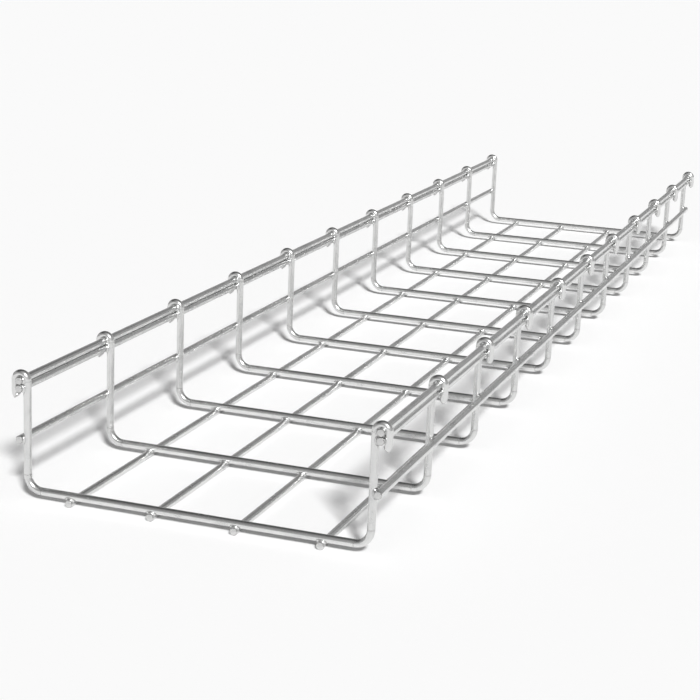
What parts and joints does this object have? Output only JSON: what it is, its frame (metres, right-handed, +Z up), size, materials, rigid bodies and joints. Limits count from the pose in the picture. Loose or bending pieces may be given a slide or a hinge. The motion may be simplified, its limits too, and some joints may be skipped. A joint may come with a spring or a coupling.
{
  "type": "wire mesh cable basket",
  "caption": "Open U-shaped length of welded wire mesh that carries cables, with the cross wires hooked outwards over a stacked pair of edge wires along each wall.",
  "frame": {"origin": "on the surface the tray rests on, under its middle", "axes": "+Y along the tray, +Z up out of its open top, +X across it from the left wall to the right one"},
  "size_m": [0.2238, 1.007, 0.0755],
  "materials": {
    "zinc_wire": "bright zinc plating"
  },
  "bodies": {
    "root": {"cross_wire_01": "zinc_wire", "cross_wire_02": "zinc_wire", "cross_wire_03": "zinc_wire", "cross_wire_04": "zinc_wire", "cross_wire_05": "zinc_wire", "cross_wire_06": "zinc_wire", "cross_wire_07": "zinc_wire", "cross_wire_08": "zinc_wire", "cross_wire_09": "zinc_wire", "cross_wire_10": "zinc_wire", "cross_wire_11": "zinc_wire", "base_wire_1": "zinc_wire", "base_wire_2": "zinc_wire", "base_wire_3": "zinc_wire", "base_wire_4": "zinc_wire", "side_wire_left": "zinc_wire", "side_wire_right": "zinc_wire", "upper_edge_wire_left": "zinc_wire", "upper_edge_wire_right": "zinc_wire", "lower_edge_wire_left": "zinc_wire", "lower_edge_wire_right": "zinc_wire"}
  },
  "joints": []
}
